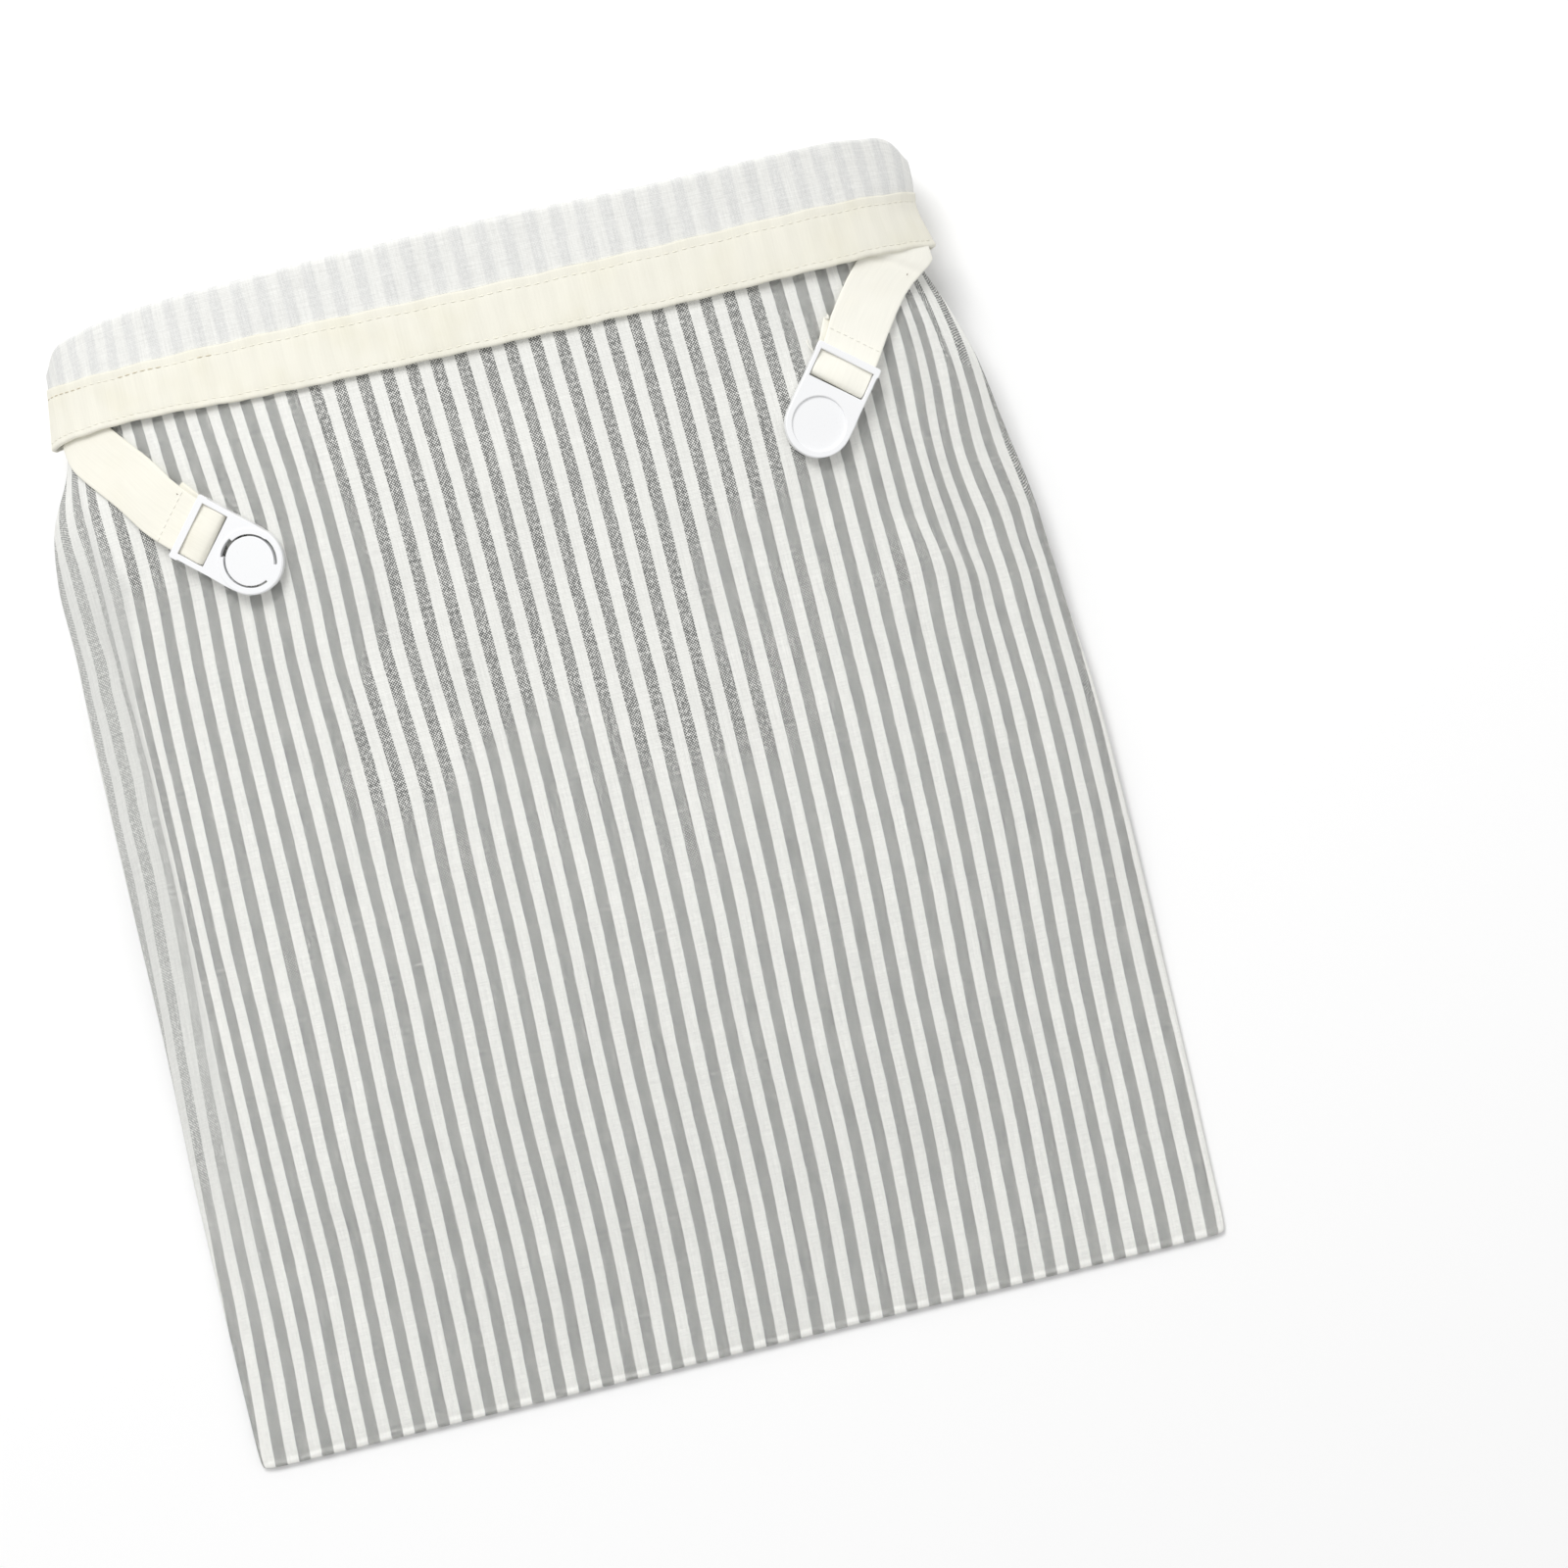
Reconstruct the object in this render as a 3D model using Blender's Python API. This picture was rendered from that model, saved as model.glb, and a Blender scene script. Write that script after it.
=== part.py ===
# Linen bread bag, roll-top form, lying on its back with the mouth folded outwards as a cuff.
# Tables and sizes are in millimetres: x runs across the bag, y from the bottom seam to the mouth,
# z up from the surface that the bag lies on. The solids are scaled to metres at the end.
import math

import bmesh
import bpy
import numpy as np
from mathutils import Vector

MM = 0.001
ORIGIN_Y = 185.0        # this place on the resting face becomes the origin
CLOTH = 1.0             # thickness of the linen, the band and the straps
GAP = 0.3               # room between two neighbouring pieces
LAYER = CLOTH + GAP     # distance between the middles of two neighbouring layers
CUFF = 2 * LAYER        # the cuff lies this far outside the body of the bag
FOLD_Y = 374.0          # distance along the body at which the mouth is folded
BACK_FLAT = 0.80        # share of the back, on each side of its middle, that stays flat
BACK_CLIMB = (298.0, 332.0)     # here the back climbs onto its own cuff and band
DOME = (2.3, 1.32)      # roundness of the front from side to side
STRAP_WIDTH = 19.0
CLIP_WIDTH = 23.5
CLIP_THICK = 3.2
SLOT = (9.6, 20.2)      # slot of a clip, along and across it
BAR = 2.2               # end bar, over the strap
BAR_UNDER = 0.4         # underside of the end bar, from the middle plane of the clip
ROD = 1.4               # square rod across the slot, round which the strap turns
ROD_MID = -0.6          # middle of the rod, from the middle plane of the clip
ROD_FROM_FAR = 2.8      # from the slot's far edge to the middle of the rod
STRAP_TURN = 1.8        # middle of the strap's cloth, from the middle of the rod
DISC_FROM_SLOT = 13.0   # from the slot's far edge to the middle of the round end

# The lie of the bag along its length: side edges, height of the front and of the side seam.
STATION_COLUMNS = ("y", "left", "right", "rise", "seam")
STATIONS = [
    (0.0, -164.2, 164.2, 1.8, 1.15),
    (16.0, -164.1, 164.4, 5.0, 1.15),
    (49.0, -163.8, 165.0, 13.0, 1.2),
    (97.0, -163.1, 165.5, 25.0, 1.6),
    (146.0, -161.2, 165.5, 35.0, 3.5),
    (185.0, -160.4, 164.7, 41.0, 6.0),
    (216.0, -159.6, 162.1, 46.0, 8.5),
    (250.0, -158.4, 159.8, 52.0, 12.0),
    (275.0, -157.0, 156.8, 57.0, 15.0),
    (300.0, -156.4, 154.0, 62.0, 18.0),
    (318.0, -153.0, 151.0, 65.0, 20.5),
    (332.0, -146.5, 147.6, 67.5, 22.0),
    (350.0, -142.0, 144.6, 69.5, 22.5),
    (FOLD_Y, -140.4, 143.4, 71.5, 23.0),
]

# Edges across the mouth: top of the fold, mouth edge of the band and its stitched edge.
RIM_COLUMNS = ("u", "fold", "mouth", "stitched")
RIM = [
    (0.0, 366.8, 340.0, 360.5),
    (0.006, 367.8, 340.3, 360.6),
    (0.02, 371.8, 341.2, 360.6),
    (0.06, 374.6, 341.6, 360.0),
    (0.14, 376.0, 340.6, 358.8),
    (0.26, 375.4, 337.6, 357.0),
    (0.50, 374.3, 334.9, 354.0),
    (0.72, 373.2, 334.2, 353.7),
    (0.84, 374.6, 335.2, 354.9),
    (0.93, 375.0, 336.3, 355.6),
    (0.98, 372.4, 336.2, 355.6),
    (0.994, 368.4, 335.9, 355.4),
    (1.0, 367.4, 335.8, 355.4),
]

# The cuff stands further off the body at its corners, where the straps run under it.
CUFF_LIFT_COLUMNS = ("u", "lift")
CUFF_LIFT = [(0.0, 1.8), (0.15, 1.8), (0.24, 0.0), (0.76, 0.0), (0.85, 1.8), (1.0, 1.8)]

# Main folds of the front, grooves with a negative height.
# Columns: x and y of one end, x and y of the other end, half width, height.
FOLDS = [
    (-144.0, 130.0, -140.0, 305.0, 6.0, -2.4),
    (-133.0, 150.0, -131.0, 290.0, 7.0, 1.2),
    (134.0, 292.0, 141.0, 190.0, 7.0, -2.0),
    (120.0, 285.0, 128.0, 170.0, 8.0, 1.4),
    (112.0, 268.0, 136.0, 232.0, 7.0, -1.0),
    (-127.0, 14.0, -118.0, 80.0, 11.0, -1.6),
    (-15.0, 8.0, -8.0, 52.0, 12.0, -1.2),
    (68.0, 10.0, 74.0, 64.0, 11.0, -1.5),
    (100.0, 12.0, 92.0, 90.0, 11.0, -1.4),
]

# Lines of the grids: share of the cloth's width, and distance along the body.
SHARES = (0.0, 0.008, 0.020, 0.034, 0.050, 0.068, 0.088, 0.112, 0.145, 0.19, 0.25, 0.33, 0.415,
          0.50, 0.585, 0.67, 0.75, 0.81, 0.855, 0.888, 0.912, 0.932, 0.950, 0.966, 0.980,
          0.992, 1.0)
FRONT_ROWS = (0, 14, 30, 48, 68, 90, 114, 138, 162, 186, 208, 230, 250, 268, 284, 298, 312,
              324, 336, 348, 360)
BACK_ROWS = (0, 50, 100, 150, 200, 240, 270, 292, 306, 318, 330, 345, 360)

# Straps, from under the band to the sewn end before the clip.
# Columns: x and y of one edge, x and y of the other edge, height of the middle of the upper cloth
# over the middle of the front.
LEFT_STRAP = [
    (-143.2, 340.5, -132.5, 351.0, 1.6),
    (-142.0, 332.5, -126.6, 343.0, 1.6),
    (-138.2, 326.4, -122.6, 337.6, 1.6),
    (-133.7, 320.6, -119.0, 333.0, 1.6),
    (-129.0, 314.8, -115.0, 328.2, 1.8),
    (-121.0, 304.8, -107.8, 318.8, 3.4),
]
RIGHT_STRAP = [
    (134.0, 349.5, 145.0, 340.5, 1.6),
    (130.0, 344.0, 145.4, 334.5, 1.6),
    (124.9, 339.4, 139.6, 328.2, 1.6),
    (119.7, 335.0, 134.6, 323.4, 1.6),
    (114.2, 328.9, 129.6, 317.6, 1.8),
    (108.8, 320.4, 124.0, 308.6, 3.4),
]

# Strap in the clip, seen from its side, before and after its turn round the rod.
# Columns: distance from the middle of the round end, height over the middle plane of the clip.
STRAP_IN = [(-26.4, -0.3), (-24.8, -0.45), (-22.2, -0.45), (-19.6, 0.45), (-17.4, 1.1)]
STRAP_OUT = [(-17.6, -2.3), (-20.0, -2.1), (-22.4, -1.85), (-25.0, -1.75)]

# Clips. Columns: x and y on the front under the end bar, height of the clip's middle plane there,
# and the same three under the middle of the round end.
LEFT_CLIP = (-108.2, 305.8, 4.6, -91.0, 289.4, 3.3)
RIGHT_CLIP = (110.7, 307.2, 4.6, 96.2, 288.2, 3.3)


def column(table, columns, name):
    return [row[columns.index(name)] for row in table]


def curve(xs, ys, at):
    """Smooth curve through the points, with each slope taken from the neighbouring points."""
    xs = np.asarray(xs, float)
    ys = np.asarray(ys, float)
    slopes = np.gradient(ys, xs)
    at = np.clip(at, xs[0], xs[-1])
    i = np.clip(np.searchsorted(xs, at, side="right") - 1, 0, len(xs) - 2)
    step = xs[i + 1] - xs[i]
    t = (at - xs[i]) / step
    start = (1 + 2 * t) * (1 - t) ** 2 * ys[i] + t * (1 - t) ** 2 * step * slopes[i]
    end = t * t * (3 - 2 * t) * ys[i + 1] + t * t * (t - 1) * step * slopes[i + 1]
    return start + end


def station(name, y):
    return curve(column(STATIONS, STATION_COLUMNS, "y"), column(STATIONS, STATION_COLUMNS, name), y)


def rim(name, u):
    return curve(column(RIM, RIM_COLUMNS, "u"), column(RIM, RIM_COLUMNS, name), u)


def back_height(y):
    """Middle of the flat part of the back: on the surface, then on three layers of cuff and band."""
    start, end = BACK_CLIMB
    climb = np.clip((y - start) / (end - start), 0, 1)
    return CLOTH / 2 + (CUFF + LAYER) * climb * climb * (3 - 2 * climb)


def fold_height(x, y):
    """Height that the main folds add to the front at x, y."""
    total = np.zeros(np.broadcast(x, y).shape)
    for x0, y0, x1, y1, half, height in FOLDS:
        length = math.hypot(x1 - x0, y1 - y0)
        along = ((x - x0) * (x1 - x0) + (y - y0) * (y1 - y0)) / length
        aside = ((x - x0) * (y1 - y0) - (y - y0) * (x1 - x0)) / length
        taper = np.clip(np.sin(np.pi * np.clip(along / length, 0, 1)), 0, 1) ** 0.8
        total = total + height * taper * np.exp(-(aside / half) ** 2)
    return total


def section(y, face):
    """Middle of the cloth from side to side at each y: x and z of many places, side to side."""
    y = np.atleast_1d(np.asarray(y, float))[:, None]
    spread = np.sin(np.linspace(-np.pi / 2, np.pi / 2, 241))[None, :]
    left = station("left", y)
    right = station("right", y)
    x = (left + right) / 2 + (right - left) / 2 * spread
    seam = station("seam", y)
    if face == "front":
        low = seam + LAYER / 2
        arch = np.clip(1 - np.abs(spread) ** DOME[0], 0, 1) ** (1 / DOME[1])
        z = low + (station("rise", y) - low) * arch
        z = z + fold_height(x, y) * np.clip((z - low) / 8, 0, 1)
    else:
        high = seam - LAYER / 2
        flat = back_height(y)
        side = np.clip((np.abs(spread) - BACK_FLAT) / (1 - BACK_FLAT), 0, 1)
        z = flat + (high - flat) * (1 - np.clip(1 - side ** 1.8, 0, 1) ** (1 / 1.4))
    return x, z


def body(u, y, face):
    """Places on the middle of the cloth: u is the share of its width, y the distance along it."""
    u, y = np.broadcast_arrays(np.asarray(u, float), np.asarray(y, float))
    x, z = section(y.ravel(), face)
    run = np.cumsum(np.hypot(np.diff(x), np.diff(z)), axis=1)
    run = np.hstack([np.zeros((len(run), 1)), run])
    places = []
    for share, across, up, lengths, place in zip(u.ravel(), x, z, run, y.ravel()):
        reach = share * lengths[-1]
        places.append((np.interp(reach, lengths, across), place, np.interp(reach, lengths, up)))
    return np.array(places).reshape(u.shape + (3,))


def share_at(x, y):
    """Share of the front's width at the place that lies at x, y."""
    across, up = section(y, "front")
    run = np.concatenate([[0], np.cumsum(np.hypot(np.diff(across[0]), np.diff(up[0])))])
    return float(np.interp(x, across[0], run / run[-1]))


def unit(vectors):
    return vectors / np.linalg.norm(vectors, axis=-1, keepdims=True)


def body_frame(u, y, face):
    """Places of the cloth with the outward direction and the direction towards the mouth."""
    u, y = np.broadcast_arrays(np.asarray(u, float), np.asarray(y, float))
    step_u = 0.004
    step_y = 1.5
    low_u = np.clip(u - step_u, 0, 1)
    high_u = np.clip(u + step_u, 0, 1)
    aside = body(high_u, y, face) - body(low_u, y, face)
    along = body(u, y + step_y, face) - body(u, y - step_y, face)
    out = unit(np.cross(aside, along))
    if face == "back":
        out = -out
    along = unit(along - out * np.sum(along * out, axis=-1, keepdims=True))
    return body(u, y, face), out, along


def lifted(u, y, offset, face):
    """Places at a distance outside the body, and the outward direction there."""
    place, out, along = body_frame(u, y, face)
    return place + out * np.asarray(offset)[..., None], out


def mouth_lines(u):
    """Lines along the cloth at the mouth: start of the turn, middle of the band's own turn."""
    return rim("fold", u) - CUFF / 2 - CLOTH / 2, rim("mouth", u) + LAYER + CLOTH / 2


def cuff_offset(u, y, face):
    """Distance of the cuff's cloth from the body, growing from the turn towards the band."""
    turn_y, end_y = mouth_lines(u)
    if face == "back":
        return np.full(np.shape(turn_y), CUFF)
    lift = np.interp(u, column(CUFF_LIFT, CUFF_LIFT_COLUMNS, "u"),
                     column(CUFF_LIFT, CUFF_LIFT_COLUMNS, "lift"))
    return CUFF + lift * np.clip((turn_y - y) / (turn_y - end_y) / 0.45, 0, 1)


def mesh_object(name, vertices, faces, colour, roughness):
    mesh = bpy.data.meshes.new(name)
    mesh.from_pydata([tuple(v) for v in vertices], [], faces)
    mesh.validate()
    obj = bpy.data.objects.new(name, mesh)
    bpy.context.scene.collection.objects.link(obj)
    material = bpy.data.materials.new(name + "_finish")
    material.use_nodes = True
    shader = material.node_tree.nodes["Principled BSDF"]
    shader.inputs["Base Color"].default_value = (*colour, 1.0)
    shader.inputs["Roughness"].default_value = roughness
    mesh.materials.append(material)
    tool = bmesh.new()
    tool.from_mesh(mesh)
    bmesh.ops.recalc_face_normals(tool, faces=tool.faces)
    bmesh.ops.triangulate(tool, faces=tool.faces)
    tool.to_mesh(mesh)
    tool.free()
    return obj


def to_metres(places):
    return (np.asarray(places) - np.array([0.0, ORIGIN_Y, 0.0])) * MM


def sheet(name, middle, out, colour, loop=False):
    """Closed sheet of cloth thickness round a grid of places with their outward directions."""
    rows, cols = middle.shape[:2]
    top = to_metres(middle + out * CLOTH / 2).reshape(-1, 3)
    bottom = to_metres(middle - out * CLOTH / 2).reshape(-1, 3)
    base = rows * cols
    faces = []
    spans = cols if loop else cols - 1

    def at(i, j):
        return i * cols + j % cols

    for i in range(rows - 1):
        for j in range(spans):
            quad = (at(i, j), at(i, j + 1), at(i + 1, j + 1), at(i + 1, j))
            faces.append(quad)
            faces.append(tuple(base + k for k in reversed(quad)))
    for j in range(spans):
        for i in (0, rows - 1):
            faces.append((at(i, j), at(i, j + 1), base + at(i, j + 1), base + at(i, j)))
    if not loop:
        for i in range(rows - 1):
            for j in (0, cols - 1):
                faces.append((at(i, j), at(i + 1, j), base + at(i + 1, j), base + at(i, j)))
    return mesh_object(name, np.vstack([top, bottom]), faces, colour, 0.9)


def panel(name, face, rows, colour):
    """Body of one side, its turn over the mouth and its half of the cuff, in one cloth."""
    u = np.array(SHARES)
    grid = []
    outs = []
    turn_y, end_y = mouth_lines(u)
    stitched = rim("stitched", u)
    for row in rows:
        place, out, along = body_frame(u, row * turn_y / FOLD_Y, face)
        grid.append(place)
        outs.append(out)
    for angle in np.linspace(0, math.pi, 7):
        place, out, along = body_frame(u, turn_y, face)
        centre = place + out * CUFF / 2
        inward = math.cos(angle) * out - math.sin(angle) * along
        grid.append(centre - inward * CUFF / 2)
        outs.append(inward)
    for y in ((turn_y + stitched) / 2, stitched, (stitched + end_y) / 2, end_y):
        place, out = lifted(u, y, cuff_offset(u, y, face), face)
        grid.append(place)
        outs.append(-out)
    return sheet(name, np.array(grid), np.array(outs), colour)


def band(name, colour):
    """Binding folded round the mouth edge: outer layer, turn and inner layer, all the way round."""
    rows = []
    outs = []
    turn = [(LAYER * math.cos(a), -LAYER * math.sin(a), a) for a in np.linspace(0, math.pi, 6)]
    profile = [("stitched", 0.0, LAYER, 0.0), ("middle", 0.0, LAYER, 0.0)]
    profile += [("mouth", drop, rise, angle) for rise, drop, angle in turn]
    profile += [("middle", 0.0, -LAYER, math.pi), ("stitched", -1.0, -LAYER, math.pi)]
    for place_name, drop, rise, angle in profile:
        row = []
        row_out = []
        for face, u in (("front", np.array(SHARES)), ("back", np.array(SHARES)[::-1])):
            end_y = mouth_lines(u)[1]
            stitched = rim("stitched", u)
            edge = {"mouth": end_y, "stitched": stitched, "middle": (end_y + stitched) / 2}[place_name]
            lift = cuff_offset(u, edge, face) + rise
            place, out, along = body_frame(u, edge + drop, face)
            row.append(place + out * lift[..., None])
            row_out.append(math.cos(angle) * out - math.sin(angle) * along)
        rows.append(np.vstack(row))
        outs.append(np.vstack(row_out))
    return sheet(name, np.array(rows), np.array(outs), colour, loop=True)


def clip_frame(row):
    """Axes of a clip that lies over the front: origin at the round end's middle."""
    bar_x, bar_y, bar_h, end_x, end_y, end_h = row
    ends = []
    for x, y, height in ((bar_x, bar_y, bar_h), (end_x, end_y, end_h)):
        place, out = lifted(share_at(x, y), y, height, "front")
        ends.append((place, out))
    along = unit(ends[1][0] - ends[0][0])
    up = unit(ends[0][1] + ends[1][1])
    up = unit(up - along * np.dot(up, along))
    return ends[1][0], along, np.cross(up, along), up


BAR_TO_DISC = DISC_FROM_SLOT + SLOT[0] + BAR / 2


def strap(name, table, clip_row, colour):
    """Strap from under the band, under the end bar, round the rod and back to its sewn end."""
    disc, along, aside, up = clip_frame(clip_row)
    parts = np.linspace(0, 1, 5)
    drape = []
    for ax, ay, bx, by, lift in table:
        edge_a = share_at(ax, ay)
        edge_b = share_at(bx, by)
        place, out, mouthwards = body_frame(edge_a + (edge_b - edge_a) * parts,
                                            ay + (by - ay) * parts, "front")
        drape.append((place, out, lift))
    grid = [place + out * lift for place, out, lift in drape]
    outs = [out for place, out, lift in drape]
    rod = -DISC_FROM_SLOT - ROD_FROM_FAR
    path = list(STRAP_IN)
    turn = np.radians([78, 52, 26, 0, -26, -52, -78])
    path += [(rod + STRAP_TURN * math.cos(a), ROD_MID + STRAP_TURN * math.sin(a)) for a in turn]
    path += STRAP_OUT
    flow = unit(np.gradient(np.array(path), axis=0))
    across = (parts - 0.5) * STRAP_WIDTH
    if np.dot(grid[-1][-1] - grid[-1][0], aside) < 0:
        across = -across
    for (reach, height), (run, rise) in zip(path, flow):
        grid.append(disc + along * reach + up * height + aside * across[:, None])
        outs.append(np.repeat((up * run - along * rise)[None, :], len(parts), axis=0))
    place, out, lift = drape[-1]
    grid.append(place + out * (lift - LAYER))
    outs.append(-out)
    return sheet(name, np.array(grid), np.array(outs), colour)


def clip_outline(segments):
    """Outline of a clip, seen from above, with the round end at the origin."""
    back = -(BAR_TO_DISC + BAR / 2)
    half = CLIP_WIDTH / 2
    corner = 1.2
    points = []
    for cx, cy, start in ((back + corner, half - corner, 90), (back + corner, corner - half, 180)):
        for k in range(4):
            angle = math.radians(start + 30 * k)
            points.append((cx + corner * math.cos(angle), cy + corner * math.sin(angle)))
    for k in range(segments + 1):
        angle = -math.pi / 2 + math.pi * k / segments
        points.append((half * math.cos(angle), half * math.sin(angle)))
    return points


def prism(name, points, low, high):
    """Straight-sided solid over an outline, in the clip's own axes."""
    count = len(points)
    vertices = [(x * MM, y * MM, low * MM) for x, y in points]
    vertices += [(x * MM, y * MM, high * MM) for x, y in points]
    faces = [tuple(reversed(range(count))), tuple(range(count, 2 * count))]
    for k in range(count):
        following = (k + 1) % count
        faces.append((k, following, count + following, count + k))
    mesh = bpy.data.meshes.new(name)
    mesh.from_pydata(vertices, [], faces)
    obj = bpy.data.objects.new(name, mesh)
    bpy.context.scene.collection.objects.link(obj)
    return obj


def circle(radius, count):
    return [(radius * math.cos(2 * math.pi * k / count), radius * math.sin(2 * math.pi * k / count))
            for k in range(count)]


def arc_strip(inner, outer, start, end, count):
    """Outline of a curved cut between two radii, from one angle to another in degrees."""
    angles = [math.radians(start + (end - start) * k / count) for k in range(count + 1)]
    points = [(outer * math.cos(a), outer * math.sin(a)) for a in angles]
    points += [(inner * math.cos(a), inner * math.sin(a)) for a in reversed(angles)]
    return points


def clip(name, row, cuts, colour):
    """Moulded clip: plate with a slot for the strap and the given cuts in its round end."""
    origin, along, aside, up = clip_frame(row)
    plate = prism(name, clip_outline(20), -CLIP_THICK / 2, CLIP_THICK / 2)
    slot_far = -DISC_FROM_SLOT
    slot_near = slot_far - SLOT[0]
    half = SLOT[1] / 2
    rod_near = slot_far - ROD_FROM_FAR - ROD / 2
    rod_far = rod_near + ROD
    back = slot_near - BAR - 2

    def box(start, end, wider=0.0):
        side = half + wider
        return [(start, -side), (end, -side), (end, side), (start, side)]

    cutters = [
        ("slot", box(slot_near, rod_near), -CLIP_THICK, CLIP_THICK),
        ("slot_far", box(rod_far, slot_far), -CLIP_THICK, CLIP_THICK),
        ("over_rod", box(rod_near - 0.5, rod_far + 0.5, 0.2), ROD_MID + ROD / 2, CLIP_THICK),
        ("under_rod", box(rod_near - 0.5, rod_far + 0.5, 0.2), -CLIP_THICK, ROD_MID - ROD / 2),
        ("under_bar", box(back, slot_near + 0.5, 0.1), -CLIP_THICK, BAR_UNDER),
    ] + cuts
    columns = [Vector(axis) for axis in (along, aside, up)]
    place = Vector(to_metres(origin))

    def put(obj):
        for vertex in obj.data.vertices:
            x, y, z = vertex.co
            vertex.co = place + columns[0] * x + columns[1] * y + columns[2] * z

    put(plate)
    material = bpy.data.materials.new(name + "_finish")
    material.use_nodes = True
    shader = material.node_tree.nodes["Principled BSDF"]
    shader.inputs["Base Color"].default_value = (*colour, 1.0)
    shader.inputs["Roughness"].default_value = 0.25
    plate.data.materials.append(material)
    for label, outline, low, high in cutters:
        cutter = prism(name + "_" + label + "_cut", outline, low, high)
        put(cutter)
        cutter.hide_render = True
        cutter.display_type = "WIRE"
        cut = plate.modifiers.new(label, "BOOLEAN")
        cut.operation = "DIFFERENCE"
        cut.solver = "EXACT"
        cut.object = cutter
    return plate


for old in list(bpy.data.objects):
    bpy.data.objects.remove(old, do_unlink=True)

LINEN = (0.62, 0.62, 0.60)
CREAM = (0.90, 0.87, 0.74)
WHITE = (0.93, 0.93, 0.94)

panel("front_panel", "front", FRONT_ROWS, LINEN)
panel("back_panel", "back", BACK_ROWS, LINEN)
band("mouth_band", CREAM)
strap("left_strap", LEFT_STRAP, LEFT_CLIP, CREAM)
strap("right_strap", RIGHT_STRAP, RIGHT_CLIP, CREAM)
clip("left_clip", LEFT_CLIP,
     [("catch", arc_strip(8.5, 9.1, 22, 338, 28), -CLIP_THICK, CLIP_THICK),
      ("notch", arc_strip(8.7, 10.1, 158, 202, 5), -CLIP_THICK, CLIP_THICK)], WHITE)
clip("right_clip", RIGHT_CLIP,
     [("dish", circle(8.3, 28), 0.6, CLIP_THICK)], WHITE)
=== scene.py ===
import math

import bmesh
import bpy
import numpy as np
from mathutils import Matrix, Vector


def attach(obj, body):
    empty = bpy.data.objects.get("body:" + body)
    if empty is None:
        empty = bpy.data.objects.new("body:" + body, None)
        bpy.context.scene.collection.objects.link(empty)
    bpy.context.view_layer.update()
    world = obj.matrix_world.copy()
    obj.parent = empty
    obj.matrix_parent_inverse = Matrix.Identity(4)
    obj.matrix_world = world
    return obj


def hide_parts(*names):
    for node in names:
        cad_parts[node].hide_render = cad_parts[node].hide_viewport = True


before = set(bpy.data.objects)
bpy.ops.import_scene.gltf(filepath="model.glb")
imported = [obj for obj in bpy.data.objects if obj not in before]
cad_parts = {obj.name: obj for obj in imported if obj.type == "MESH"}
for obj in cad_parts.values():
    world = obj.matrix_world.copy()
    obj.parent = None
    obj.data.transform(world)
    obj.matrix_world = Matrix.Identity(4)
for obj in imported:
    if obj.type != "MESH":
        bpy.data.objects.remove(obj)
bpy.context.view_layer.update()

# Tables are in millimetres: x across the bag, y from the bottom seam to the mouth, z up.
mm = 0.001
bag = {
    "originY": 185.0,
    "stripePitch": 7.95,
    "cloth": 0.62,
    "seamGap": 0.33,            # from the seam to the middle of each cloth
    "cuffGap": 2.6,             # from the body to the cuff, middle to middle
    "cuffSinks": 0.6,           # and how much closer it lies at the band
    "foldY": 374.0,
    "roundness": (2.3, 1.32),
    "backFlat": 0.80,
    "backClimb": (298.0, 332.0),
    "backRaise": 3.9,
}

# How the bag lies: y, left edge, right edge, height of the front, height of the side seam.
lie = np.array([
    (0.0, -164.2, 164.2, 1.8, 1.15),
    (16.0, -164.1, 164.4, 5.0, 1.15),
    (49.0, -163.8, 165.0, 13.0, 1.2),
    (97.0, -163.1, 165.5, 25.0, 1.6),
    (146.0, -161.2, 165.5, 35.0, 3.5),
    (185.0, -160.4, 164.7, 41.0, 6.0),
    (216.0, -159.6, 162.1, 46.0, 8.5),
    (250.0, -158.4, 159.8, 52.0, 12.0),
    (275.0, -157.0, 156.8, 57.0, 15.0),
    (300.0, -156.4, 154.0, 62.0, 18.0),
    (318.0, -153.0, 151.0, 65.0, 20.5),
    (332.0, -146.5, 147.6, 67.5, 22.0),
    (350.0, -142.0, 144.6, 69.5, 22.5),
    (374.0, -140.4, 143.4, 71.5, 23.0),
])

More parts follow.
